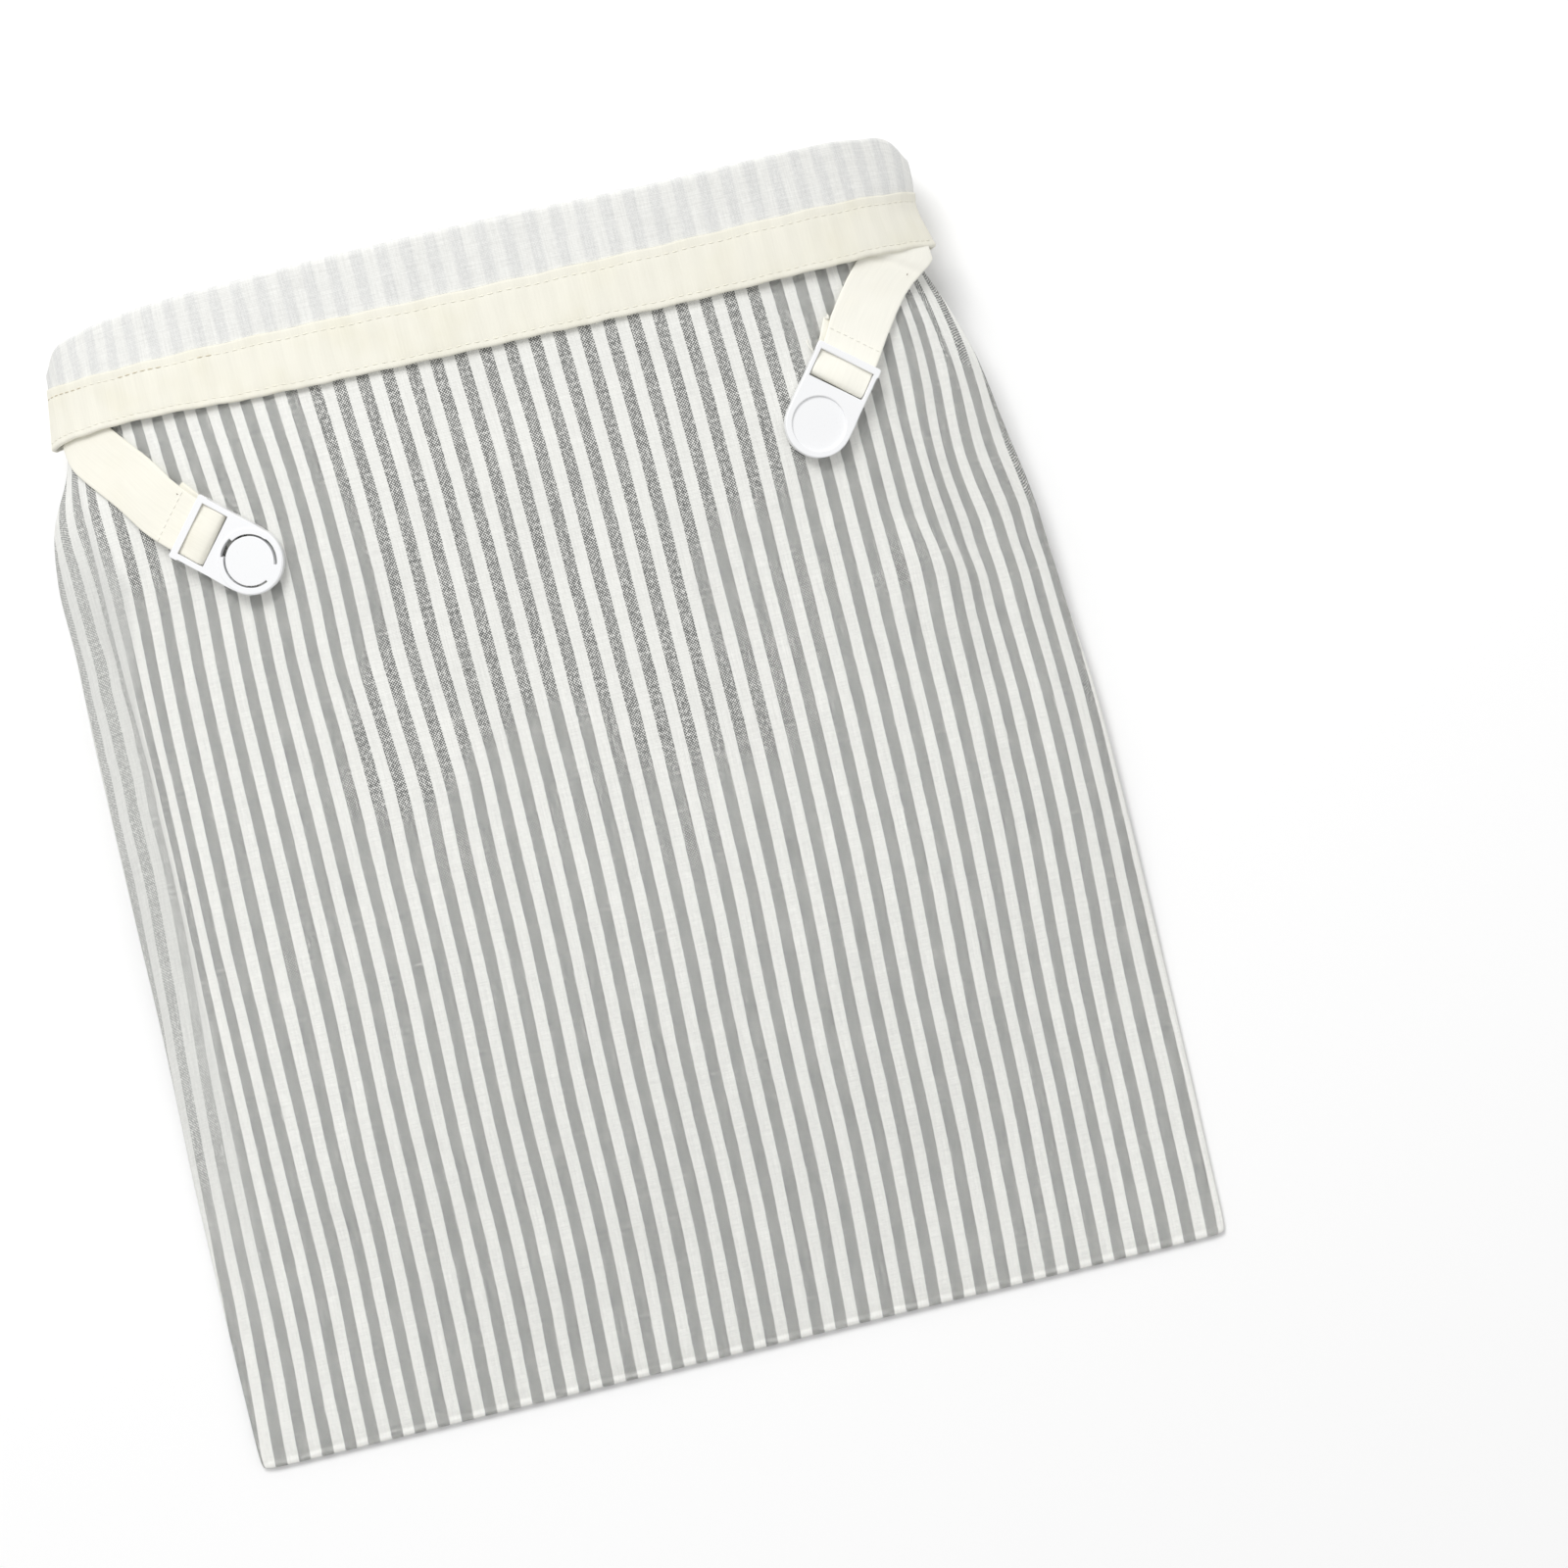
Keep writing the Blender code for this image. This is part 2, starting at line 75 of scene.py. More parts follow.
# Creases too fine for the solids, in the same form.
fineFolds = [
    (-141.0, 328.0, -144.8, 262.0, 1.7, -2.6),
    (-144.8, 280.0, -142.6, 220.0, 1.8, -2.8),
    (-142.6, 240.0, -146.5, 140.0, 2.0, -2.4),
    (-146.5, 168.0, -151.0, 40.0, 3.2, -0.9),
    (-146.0, 330.0, -150.5, 120.0, 4.6, -3.0),
    (-139.5, 322.0, -142.0, 130.0, 2.6, 0.9),
    (-151.0, 300.0, -151.5, 170.0, 1.6, 1.1),
    (-150.0, 296.0, -146.0, 262.0, 1.1, -0.6),
    (-138.0, 300.0, -141.0, 236.0, 2.0, -0.5),
    (-76.0, 266.0, -34.0, 186.0, 9.0, 0.9),
    (-62.0, 268.0, -20.0, 190.0, 8.0, -0.8),
    (-52.0, 236.0, -44.0, 176.0, 4.0, -0.5),
    (108.0, 262.0, 140.0, 236.0, 4.0, -0.8),
    (112.0, 248.0, 142.0, 222.0, 5.0, 0.7),
    (142.0, 334.0, 148.0, 286.0, 1.8, -1.3),
    (139.0, 334.0, 145.0, 270.0, 1.8, 0.8),
    (136.0, 328.0, 139.5, 276.0, 2.0, -0.9),
    (131.0, 322.0, 131.0, 284.0, 2.4, 0.6),
    (126.0, 318.0, 124.0, 270.0, 2.6, -0.6),
    (152.0, 270.0, 157.0, 150.0, 3.0, -0.8),
    (148.0, 210.0, 153.0, 90.0, 5.0, 0.8),
    (20.0, 6.0, 26.0, 44.0, 10.0, 0.7),
    (-60.0, 6.0, -52.0, 60.0, 12.0, 0.8),
    (-96.0, 4.0, -90.0, 40.0, 9.0, -0.8),
    (130.0, 6.0, 126.0, 70.0, 9.0, -0.8),
]

# Where the weave is pulled aside: x, y, half width, half height, shift.
weavePulls = [
    (-104.0, 300.0, 36.0, 38.0, 3.4),
    (-60.0, 250.0, 22.0, 16.0, -0.8),
    (-50.0, 206.0, 24.0, 18.0, 1.0),
    (142.0, 272.0, 22.0, 26.0, -4.2),
    (126.0, 236.0, 16.0, 14.0, 1.2),
    (-130.0, 165.0, 22.0, 60.0, -2.8),
    (146.0, 62.0, 32.0, 60.0, -2.2),
    (-112.0, 40.0, 26.0, 40.0, -1.0),
]

# How far the sides are drawn in near the mouth: y, left of the body, right of the body,
# right of the cuff.
drawnIn = np.array([
    (250.0, 0.0, 0.0, 0.0),
    (279.0, 0.0, -1.0, 0.0),
    (301.0, 0.0, -2.0, 0.0),
    (318.0, 0.6, -4.2, -1.6),
    (332.0, 1.6, -6.0, -2.3),
    (342.0, 1.6, -5.4, -3.0),
    (351.0, 1.0, -4.4, -3.6),
    (359.0, 0.2, -1.6, -1.6),
    (370.0, 0.0, -0.4, -0.4),
])

# Where the middle stripe runs: y, x.
middleStripe = np.array([(0, 1.5), (50, 4.4), (100, 5.6), (150, 7.8), (200, 8.6), (250, 8.6),
                         (300, 8.4), (340, 7.2), (374, 7.0)])

# Round the mouth: share of the width, top of the fold, mouth edge of the band, its stitched edge.
mouth = np.array([
    (0.0, 366.8, 340.0, 360.5),
    (0.006, 367.8, 340.3, 360.6),
    (0.02, 371.8, 341.2, 360.6),
    (0.06, 374.6, 341.6, 360.0),
    (0.14, 376.0, 340.6, 358.8),
    (0.26, 375.4, 337.6, 357.0),
    (0.50, 374.3, 334.9, 354.0),
    (0.72, 373.2, 334.2, 353.7),
    (0.84, 374.6, 335.2, 354.9),
    (0.93, 375.0, 336.3, 355.6),
    (0.98, 372.4, 336.2, 355.6),
    (0.994, 368.4, 335.9, 355.4),
    (1.0, 367.4, 335.8, 355.4),
])

# Room for the straps under the corners of the cuff: share of the width, extra height.
cornerRoom = np.array([(0.0, 1.2), (0.15, 1.2), (0.24, 0.0), (0.76, 0.0), (0.85, 1.5), (1.0, 1.5)])

# Folds of the front: x and y of one end, x and y of the other, half width, height.
frontFolds = [
    (-144.0, 130.0, -140.0, 305.0, 6.0, -2.4),
    (-133.0, 150.0, -131.0, 290.0, 7.0, 1.2),
    (134.0, 292.0, 141.0, 190.0, 7.0, -2.0),
    (120.0, 285.0, 128.0, 170.0, 8.0, 1.4),
    (112.0, 268.0, 136.0, 232.0, 7.0, -1.0),
    (-127.0, 14.0, -118.0, 80.0, 11.0, -1.6),
    (-15.0, 8.0, -8.0, 52.0, 12.0, -1.2),
    (68.0, 10.0, 74.0, 64.0, 11.0, -1.5),
    (100.0, 12.0, 92.0, 90.0, 11.0, -1.4),
]


def curve(xs, ys, at):
    slopes = np.gradient(ys, xs)
    at = np.clip(at, xs[0], xs[-1])
    i = np.clip(np.searchsorted(xs, at, side="right") - 1, 0, len(xs) - 2)
    step = xs[i + 1] - xs[i]
    t = (at - xs[i]) / step
    start = (1 + 2 * t) * (1 - t) ** 2 * ys[i] + t * (1 - t) ** 2 * step * slopes[i]
    return start + t * t * (3 - 2 * t) * ys[i + 1] + t * t * (t - 1) * step * slopes[i + 1]


def unit(v):
    return v / np.linalg.norm(v, axis=-1, keepdims=True)


def foldHeight(x, y, folds):
    total = 0.0
    for x0, y0, x1, y1, half, height in folds:
        length = math.hypot(x1 - x0, y1 - y0)
        along = ((x - x0) * (x1 - x0) + (y - y0) * (y1 - y0)) / length
        aside = ((x - x0) * (y1 - y0) - (y - y0) * (x1 - x0)) / length
        taper = np.clip(np.sin(np.pi * np.clip(along / length, 0, 1)), 0, 1) ** 0.8
        total = total + height * taper * np.exp(-(aside / half) ** 2)
    return total


def ripples(x, y):
    # the cloth is never quite smooth, least of all along the bottom seam
    broad = 0.26 * np.sin(x / 17 + y / 43 + 1.1) * np.sin(y / 29 - x / 71 + 0.4)
    narrow = 0.10 * np.sin(x / 8.3 - y / 51 + 0.8 * np.sin(y / 37)) * np.sin(y / 23 + 0.6)
    hem = 0.34 * np.exp(-y / 7) * np.sin(x * 0.43 + 1.7 * np.sin(x / 23))
    return broad + narrow + hem


def section(y, face, fine=False):
    # x and z of the cloth from side to side, for a column of y
    y = np.asarray(y, float).reshape(-1, 1)
    spread = np.sin(np.linspace(-np.pi / 2, np.pi / 2, 241))[None, :]
    left, right, rise, seam = [curve(lie[:, 0], lie[:, k], y) for k in (1, 2, 3, 4)]
    x = (left + right) / 2 + (right - left) / 2 * spread
    if face == "front":
        low = seam + bag["seamGap"]
        arch = np.clip(1 - np.abs(spread) ** bag["roundness"][0], 0, 1) ** (1 / bag["roundness"][1])
        z = low + (rise - low) * arch
        folds = foldHeight(x, y, frontFolds)
        if fine:
            folds = folds + foldHeight(x, y, fineFolds) + ripples(x, y)
        return x, z + folds * np.clip((z - low) / 8, 0, 1)
    start, end = bag["backClimb"]
    climb = np.clip((y - start) / (end - start), 0, 1)
    flat = 0.5 + bag["backRaise"] * climb * climb * (3 - 2 * climb)
    side = np.clip((np.abs(spread) - bag["backFlat"]) / (1 - bag["backFlat"]), 0, 1)
    high = seam - bag["seamGap"]
    return x, flat + (high - flat) * (1 - np.clip(1 - side ** 1.8, 0, 1) ** (1 / 1.4))


def body(u, y, face, fine=False):
    # places on the cloth, and how far each is from the middle stripe along the weave
    u, y = np.broadcast_arrays(np.asarray(u, float), np.asarray(y, float))
    x, z = section(y, face, fine)
    run = np.cumsum(np.hypot(np.diff(x), np.diff(z)), axis=1)
    run = np.hstack([np.zeros((len(run), 1)), run])
    stripeX = curve(middleStripe[:, 0], middleStripe[:, 1], y.ravel())
    places = np.empty((u.size, 3))
    weave = np.empty(u.size)
    for k in range(u.size):
        reach = u.ravel()[k] * run[k, -1]
        places[k] = (np.interp(reach, run[k], x[k]), y.ravel()[k], np.interp(reach, run[k], z[k]))
        weave[k] = reach - np.interp(stripeX[k], x[k], run[k])
    return places.reshape(u.shape + (3,)), weave.reshape(u.shape)


def bodyFrame(u, y, face):
    u, y = np.broadcast_arrays(np.asarray(u, float), np.asarray(y, float))
    place, weave = body(u, y, face)
    aside = body(np.clip(u + 0.004, 0, 1), y, face)[0] - body(np.clip(u - 0.004, 0, 1), y, face)[0]
    along = body(u, y + 1.5, face)[0] - body(u, y - 1.5, face)[0]
    out = unit(np.cross(aside, along))
    if face == "back":
        out = -out
    along = unit(along - out * np.sum(along * out, axis=-1, keepdims=True))
    return place, out, along, weave


def shareAt(x, y):
    across, up = section(y, "front")
    run = np.concatenate([[0], np.cumsum(np.hypot(np.diff(across[0]), np.diff(up[0])))])
    return float(np.interp(x, across[0], run / run[-1]))


def mouthLines(u):
    fold, edge, stitched = [curve(mouth[:, 0], mouth[:, k], u) for k in (1, 2, 3)]
    return fold - bag["cuffGap"] / 2 - 0.5, edge + 1.8, stitched


def cuffOffset(u, y, face):
    turnY, endY, stitched = mouthLines(u)
    if face == "back":
        return np.full(np.shape(turnY), bag["cuffGap"])
    room = np.interp(u, cornerRoom[:, 0], cornerRoom[:, 1])
    reach = np.clip((turnY - y) / (turnY - endY) / 0.45, 0, 1)
    return bag["cuffGap"] + (room - bag["cuffSinks"]) * reach


def clothMesh(name, middle, weave, lengthways, loop=False):
    # one layer of quads through the middle of the cloth, with its weave measured in metres
    rows, cols = middle.shape[:2]
    places = (middle - np.array([0, bag["originY"], 0])) * mm
    spans = cols if loop else cols - 1
    faces = []
    uvs = []
    wrap = weave[:, -1] + np.linalg.norm(middle[:, -1] - middle[:, 0], axis=1)
    for i in range(rows - 1):
        for j in range(spans):
            k = (j + 1) % cols
            faces.append((i * cols + j, i * cols + k, (i + 1) * cols + k, (i + 1) * cols + j))
            for a, b in ((i, j), (i, j + 1), (i + 1, j + 1), (i + 1, j)):
                across = weave[a, b] if b < cols else wrap[a]
                uvs.append((across * mm, lengthways[a, b % cols] * mm))
    mesh = bpy.data.meshes.new(name)
    mesh.from_pydata([tuple(p) for p in places.reshape(-1, 3)], [], faces)
    layer = mesh.uv_layers.new(name="clothMetres")
    layer.data.foreach_set("uv", np.array(uvs).ravel())
    mesh.shade_smooth()
    piece = bpy.data.objects.new(name, mesh)
    bpy.context.scene.collection.objects.link(piece)
    return piece


def thicken(piece, thickness, materials):
    for material in materials:
        piece.data.materials.append(material)
    solid = piece.modifiers.new("cloth", "SOLIDIFY")
    solid.thickness = thickness * mm
    solid.offset = 0
    solid.use_rim = True
    if len(materials) > 1:
        solid.material_offset = 1
        solid.material_offset_rim = len(materials) - 1


# Materials

def startMaterial(name):
    material = bpy.data.materials.new(name)
    material.use_nodes = True
    tree = material.node_tree
    return material, tree, tree.nodes["Principled BSDF"]


def calc(tree, kind, a, b=None, c=None):
    node = tree.nodes.new("ShaderNodeMath")
    node.operation = kind
    for socket, value in zip(node.inputs, (a, b, c)):
        if value is None:
            continue
        if isinstance(value, (int, float)):
            socket.default_value = value
        else:
            tree.links.new(value, socket)
    return node.outputs[0]


def fade(tree, value, low, high):
    node = tree.nodes.new("ShaderNodeMapRange")
    node.interpolation_type = "SMOOTHSTEP"
    tree.links.new(value, node.inputs["Value"])
    node.inputs["From Min"].default_value = low
    node.inputs["From Max"].default_value = high
    return node.outputs["Result"]


def mixColour(tree, share, first, second, kind="MIX"):
    node = tree.nodes.new("ShaderNodeMix")
    node.data_type = "RGBA"
    node.blend_type = kind
    for socket, value in ((node.inputs[0], share), (node.inputs[6], first), (node.inputs[7], second)):
        if isinstance(value, (int, float)):
            socket.default_value = value
        elif isinstance(value, tuple):
            socket.default_value = (*value, 1.0)
        else:
            tree.links.new(value, socket)
    return node.outputs[2]


def dim(tree, colour, level):
    # the colour made darker or lighter by a number
    grey = tree.nodes.new("ShaderNodeCombineColor")
    for socket in grey.inputs[:3]:
        tree.links.new(level, socket)
    return mixColour(tree, 1.0, colour, grey.outputs[0], "MULTIPLY")


def yarnNoise(tree, across, along, acrossScale, alongScale, detail):
    # noise drawn out along one thread, so that it reads as uneven yarn
    place = tree.nodes.new("ShaderNodeCombineXYZ")
    tree.links.new(calc(tree, "MULTIPLY", across, acrossScale), place.inputs[0])
    tree.links.new(calc(tree, "MULTIPLY", along, alongScale), place.inputs[1])
    noise = tree.nodes.new("ShaderNodeTexNoise")
    noise.inputs["Scale"].default_value = 1.0
    noise.inputs["Detail"].default_value = detail
    tree.links.new(place.outputs[0], noise.inputs["Vector"])
    return noise.outputs["Fac"]


def clothPlace(tree):
    uv = tree.nodes.new("ShaderNodeUVMap")
    uv.uv_map = "clothMetres"
    split = tree.nodes.new("ShaderNodeSeparateXYZ")
    tree.links.new(uv.outputs[0], split.inputs[0])
    return split.outputs[0], split.outputs[1]


def stripeWave(tree, across):
    # 1 in the middle of each grey stripe, -1 in the middle of each white one
    turn = 2 * math.pi / (bag["stripePitch"] * mm)
    return calc(tree, "COSINE", calc(tree, "MULTIPLY", across, turn))


def crossings(tree, across, along, pitch):
    # plain weave: 1 where one set of threads lies on top, -1 where the other does
    turn = math.pi / pitch
    return calc(tree, "MULTIPLY", calc(tree, "SINE", calc(tree, "MULTIPLY", across, turn)),
                calc(tree, "SINE", calc(tree, "MULTIPLY", along, turn)))


def addBump(tree, shader, height, strength, distance):
    bump = tree.nodes.new("ShaderNodeBump")
    bump.inputs["Strength"].default_value = strength
    bump.inputs["Distance"].default_value = distance
    tree.links.new(height, bump.inputs["Height"])
    tree.links.new(bump.outputs[0], shader.inputs["Normal"])


linen = {
    "threadPitch": 0.47 * mm,
    # noises: scale across and along the bag, detail
    "wander": (45, 18, 2),              # of a whole stripe
    "raggedEdge": (300, 1500, 2),       # of a stripe
    "warpYarn": (2400, 90, 3),
    "weftYarn": (110, 2400, 3),
    "specks": (1150, 900, 2),
    "cloud": (38, 30, 3),
    "wanderBy": 0.0009,
    "grain": 2.4,               # how uneven the white specks on the grey stripes are
    "speckRange": (-0.1, 0.45),
    "greyYarn": (0.150, 0.153, 0.148),
    "whiteYarn": (0.835, 0.835, 0.80),
    "paleGrey": (0.71, 0.713, 0.70),
    "paleWhite": (0.80, 0.80, 0.772),
    # painted sheen and shade: the flat tone the left flank's stripes are drawn towards
    "paintedSheenShadeTone": (0.60, 0.605, 0.585),
    "roughness": 0.92,
    "sheen": 0.16,
    "bump": 0.3,
    "bumpDepth": 0.00012,
}


def stripedLinen(name, greyYarn, whiteYarn, blur, specks, ragged):
    material, tree, shader = startMaterial(name)
    across, along = clothPlace(tree)

    def noise(kind):
        return calc(tree, "SUBTRACT", yarnNoise(tree, across, along, *linen[kind]), 0.5)

    drift = calc(tree, "MULTIPLY_ADD", noise("wander"), linen["wanderBy"], across)
    drift = calc(tree, "MULTIPLY_ADD", noise("raggedEdge"), ragged, drift)
    wave = stripeWave(tree, drift)
    stripe = fade(tree, wave, -blur, blur)
    crossing = crossings(tree, across, along, linen["threadPitch"])
    uneven = calc(tree, "ADD", noise("warpYarn"), noise("weftYarn"))
    grain = noise("specks")
    speck = calc(tree, "MULTIPLY_ADD", uneven, 0.8, crossing)
    speck = calc(tree, "MULTIPLY_ADD", grain, linen["grain"], speck)
    speck = fade(tree, speck, *linen["speckRange"])
    # painted sheen and shade: where the mesh asks for it, the stripes are drawn towards one flat tone
    sheenShadeMask = tree.nodes.new("ShaderNodeAttribute")
    sheenShadeMask.attribute_name = "paintedSheenShade"
    warp = mixColour(tree, stripe, whiteYarn, greyYarn)
    colour = mixColour(tree, calc(tree, "MULTIPLY", speck, specks), warp, whiteYarn)
    colour = mixColour(tree, sheenShadeMask.outputs["Fac"], colour, linen["paintedSheenShadeTone"])
    level = calc(tree, "MULTIPLY_ADD", uneven, 0.26, 1.0)
    level = calc(tree, "MULTIPLY_ADD", grain, 0.16, level)
    level = calc(tree, "MULTIPLY_ADD", noise("cloud"), 0.10, level)
    level = calc(tree, "MULTIPLY_ADD", calc(tree, "ABSOLUTE", crossing), 0.06, level)
    tree.links.new(dim(tree, colour, level), shader.inputs["Base Color"])
    shader.inputs["Roughness"].default_value = linen["roughness"]
    shader.inputs["Specular IOR Level"].default_value = 0.12
    shader.inputs["Sheen Weight"].default_value = linen["sheen"]
    shader.inputs["Sheen Roughness"].default_value = 0.6
    height = calc(tree, "MULTIPLY_ADD", uneven, 0.7, calc(tree, "ABSOLUTE", crossing))
    addBump(tree, shader, height, linen["bump"], linen["bumpDepth"])
    return material


cotton = {
    "tape": (0.885, 0.865, 0.765),
    "tapeDeep": (0.85, 0.825, 0.70),
    "strap": (0.90, 0.88, 0.785),
    "strapDeep": (0.875, 0.85, 0.74),
    "thread": (0.89, 0.87, 0.77),
    "strapStitch": (0.93, 0.915, 0.84),
    "rightStrap": (0.96, 0.945, 0.86),      # the right one is a whiter piece of tape, and lighter still as painted light, to make up for the shade from its tilt away from the key light
    "rightStrapWhiterAndLitDeep": (0.94, 0.92, 0.82),
    "oldThread": (0.60, 0.54, 0.40),
    "knot": (0.22, 0.16, 0.11),
    "threadPitch": 0.30 * mm,
    "patch": (48, 48, 3),
    "yarn": (1700, 80, 3),
    "through": 0.022,           # how strongly the stripes show through the band
    "roughness": 0.85,
    "sheen": 0.08,
}


def creamCotton(name, colour, deep, through):
    material, tree, shader = startMaterial(name)
    across, along = clothPlace(tree)
    crossing = crossings(tree, across, along, cotton["threadPitch"])
    patch = yarnNoise(tree, across, along, *cotton["patch"])
    yarn = calc(tree, "SUBTRACT", yarnNoise(tree, across, along, *cotton["yarn"]), 0.5)
    base = mixColour(tree, fade(tree, patch, 0.42, 0.78), colour, deep)
    level = calc(tree, "MULTIPLY_ADD", yarn, 0.10, 1.0)
    if through:
        wave = stripeWave(tree, across)
        level = calc(tree, "MULTIPLY_ADD", fade(tree, wave, -0.6, 0.6), -through, level)
    tree.links.new(dim(tree, base, level), shader.inputs["Base Color"])
    shader.inputs["Roughness"].default_value = cotton["roughness"]
    shader.inputs["Specular IOR Level"].default_value = 0.18
    shader.inputs["Sheen Weight"].default_value = cotton["sheen"]
    height = calc(tree, "MULTIPLY_ADD", yarn, 0.8, calc(tree, "ABSOLUTE", crossing))
    addBump(tree, shader, height, 0.3, 0.00010)
    return material


def sewingThread(name, colour):
    material, tree, shader = startMaterial(name)
    place = tree.nodes.new("ShaderNodeTexCoord")
    noise = tree.nodes.new("ShaderNodeTexNoise")
    noise.inputs["Scale"].default_value = 2500.0
    tree.links.new(place.outputs["Object"], noise.inputs["Vector"])
    level = calc(tree, "MULTIPLY_ADD", noise.outputs["Fac"], 0.35, 0.82)
    tree.links.new(dim(tree, mixColour(tree, 0.0, colour, colour), level), shader.inputs["Base Color"])
    shader.inputs["Roughness"].default_value = 0.75
    addBump(tree, shader, noise.outputs["Fac"], 0.4, 0.00005)
    return material


clipFinish = {
    "white": ((0.905, 0.912, 0.925), (0.93, 0.934, 0.94)),
    "fineScale": 1400.0,
    "cloudScale": 70.0,
    "roughness": (0.24, 0.10),  # least, and how much the fine noise adds
}


def whitePlastic(name):
    material, tree, shader = startMaterial(name)
    place = tree.nodes.new("ShaderNodeTexCoord")
    fine = tree.nodes.new("ShaderNodeTexNoise")
    fine.inputs["Scale"].default_value = clipFinish["fineScale"]
    cloud = tree.nodes.new("ShaderNodeTexNoise")
    cloud.inputs["Scale"].default_value = clipFinish["cloudScale"]
    for noise in (fine, cloud):
        noise.inputs["Detail"].default_value = 2.0
        tree.links.new(place.outputs["Object"], noise.inputs["Vector"])
    colour = mixColour(tree, cloud.outputs["Fac"], *clipFinish["white"])
    tree.links.new(colour, shader.inputs["Base Color"])
    least, more = clipFinish["roughness"]
    rough = calc(tree, "MULTIPLY_ADD", fine.outputs["Fac"], more, least)
    tree.links.new(rough, shader.inputs["Roughness"])
    shader.inputs["Specular IOR Level"].default_value = 0.5
    addBump(tree, shader, fine.outputs["Fac"], 0.05, 0.00003)
    return material


rightSide = stripedLinen("linenRightSide", linen["greyYarn"], linen["whiteYarn"], 0.10, 0.92, 0.0005)
wrongSide = stripedLinen("linenWrongSide", linen["paleGrey"], linen["paleWhite"], 0.55, 0.5, 0.0007)
tapeCream = creamCotton("creamTape", cotton["tape"], cotton["tapeDeep"], cotton["through"])
# the right strap's cotton is whiter, and also lighter as painted light to make up for the shade it gets
# from its tilt
strapCream = {"left": creamCotton("creamStrap", cotton["strap"], cotton["strapDeep"], 0),
              "right": creamCotton("whiterAndLitStrap", cotton["rightStrap"], cotton["rightStrapWhiterAndLitDeep"], 0)}
seamThread = sewingThread("seamThread", cotton["thread"])
oldThread = sewingThread("oldThread", cotton["oldThread"])
knotThread = sewingThread("knotThread", cotton["knot"])
strapThread = sewingThread("strapThread", cotton["strapStitch"])
plastic = whitePlastic("clipPlastic")
print("materials made")


def keep(piece, node):
    # every piece stands in for one solid of the frame and stays with it
    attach(piece, "root")
    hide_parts(node)


# The two panels

panels = {
    "nearSeam": [0, 0.5, 1.0, 1.5, 2.1, 2.8, 3.8, 5.2, 7.0],
    "seamRidge": (1.2, 0.6, 0.34),      # distance from the seam, half width, height
    "seamDip": (2.5, 0.8, -0.42),
    "cornerRadius": 2.2,
    "turnRows": 9,
    "cuffRows": 16,
    "creaseY": (180, 215, 253, 275, 291, 310, 329, 345),
    "creaseShare": (0.060, 0.063, 0.074, 0.088, 0.098, 0.075, 0.042, 0.030),
    "paintedSheenShade": 0.55,                     # painted sheen and shade on the left flank, outside its long crease
    "paintedSheenShadeFrom": (40, 130),
    "paintedSheenShadeStops": (295, 325),
}


def spacing(length, count, ends=(True, True)):
    # even steps, with closer ones near a seam
    near = np.array(panels["nearSeam"])
    start = near if ends[0] else near[:1]
    end = length - near[::-1] if ends[1] else np.array([length])
    return np.concatenate([start, np.linspace(start[-1], end[0], count + 2)[1:-1], end])


def drawIn(place, u, y, cuff=False):
    left, right = [curve(drawnIn[:, 0], drawnIn[:, k], y) * np.clip((y - 250) / 20, 0, 1)
                   for k in (1, 3 if cuff else 2)]
    nearLeft = np.clip(1 - u / 0.07, 0, 1)
    nearRight = np.clip(1 - (1 - u) / 0.11, 0, 1)
    place[..., 0] += right * nearRight ** 2 * (3 - 2 * nearRight)
    if not cuff:
        place[..., 0] += left * nearLeft ** 2 * (3 - 2 * nearLeft)


def panelPlaces(u, y, face):
    place, weave = body(u, y, face, fine=(face == "front"))
    x, height = place[..., 0].copy(), y
    drawIn(place, u, y)
    fromLeft, fromRight = u * 330, (1 - u) * 330
    fromEdge = np.minimum(np.minimum(fromLeft, fromRight), height)
    softCorner = 0.9 * np.exp(-(np.minimum(fromLeft, fromRight) + height) / panels["cornerRadius"])
    place[..., 0] += np.where(u < 0.5, softCorner, -softCorner)
    place[..., 1] += softCorner
    relief = 0.0
    for distance, half, depth in (panels["seamRidge"], panels["seamDip"]):
        relief = relief + depth * np.exp(-((fromEdge - distance) / half) ** 2)
    relief = relief * np.clip((330 - height) / 20, 0, 1)
    place[..., 2] += relief if face == "front" else 0
    for px, py, halfX, halfY, shift in weavePulls:
        weave = weave - shift * np.exp(-((x - px) / halfX) ** 2 - ((y - py) / halfY) ** 2)
    return place, weave


